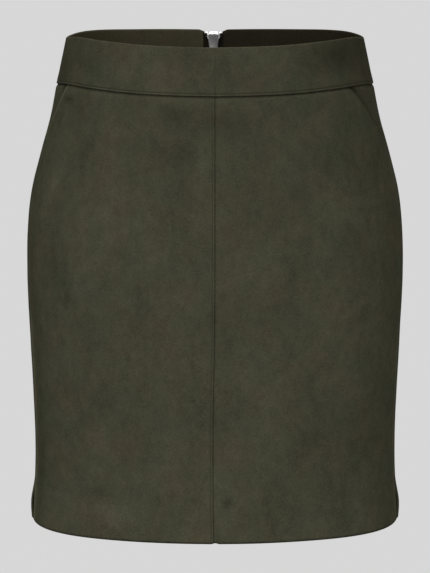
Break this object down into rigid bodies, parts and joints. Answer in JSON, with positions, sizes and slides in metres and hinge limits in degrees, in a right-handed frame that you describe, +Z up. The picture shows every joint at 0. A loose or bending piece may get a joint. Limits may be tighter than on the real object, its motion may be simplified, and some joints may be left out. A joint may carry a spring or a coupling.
{
  "type": "mini skirt",
  "caption": "Straight faux-suede mini skirt in its worn form, with waistband, centre-front seam, slant pockets, side slits and a metal back zip.",
  "frame": {"origin": "middle of the waist opening, level with the waistband's top edge at the centre front", "axes": "+Z up, front of the skirt faces -Y, +X is the wearer's left"},
  "size_m": [0.3488, 0.245, 0.454],
  "materials": {
    "suede": "dark olive faux suede, short brushed nap",
    "zip_tape": "black woven polyester tape",
    "zip_metal": "nickel-plated, polished"
  },
  "bodies": {
    "skirt": {"front_panel_left": "suede", "front_panel_right": "suede", "hip_piece_left": "suede", "hip_piece_right": "suede", "back_panel_left": "suede", "back_panel_right": "suede", "waistband_left": "suede", "waistband_right": "suede", "zip_tape_left": "zip_tape", "zip_tape_right": "zip_tape", "zip_chain": "zip_metal", "zip_slider": "zip_metal", "zip_top_stop_left": "zip_metal", "zip_top_stop_right": "zip_metal", "zip_bottom_stop": "zip_metal"},
    "pull_tab": {"zip_pull": "zip_metal"}
  },
  "joints": [
    {"name": "pull_swing", "type": "hinge", "parent": "skirt", "child": "pull_tab", "pos_m": [-0.0015, 0.08955, -0.01076], "axis": [1, 0, 0], "range_deg": [0, 170]}
  ]
}
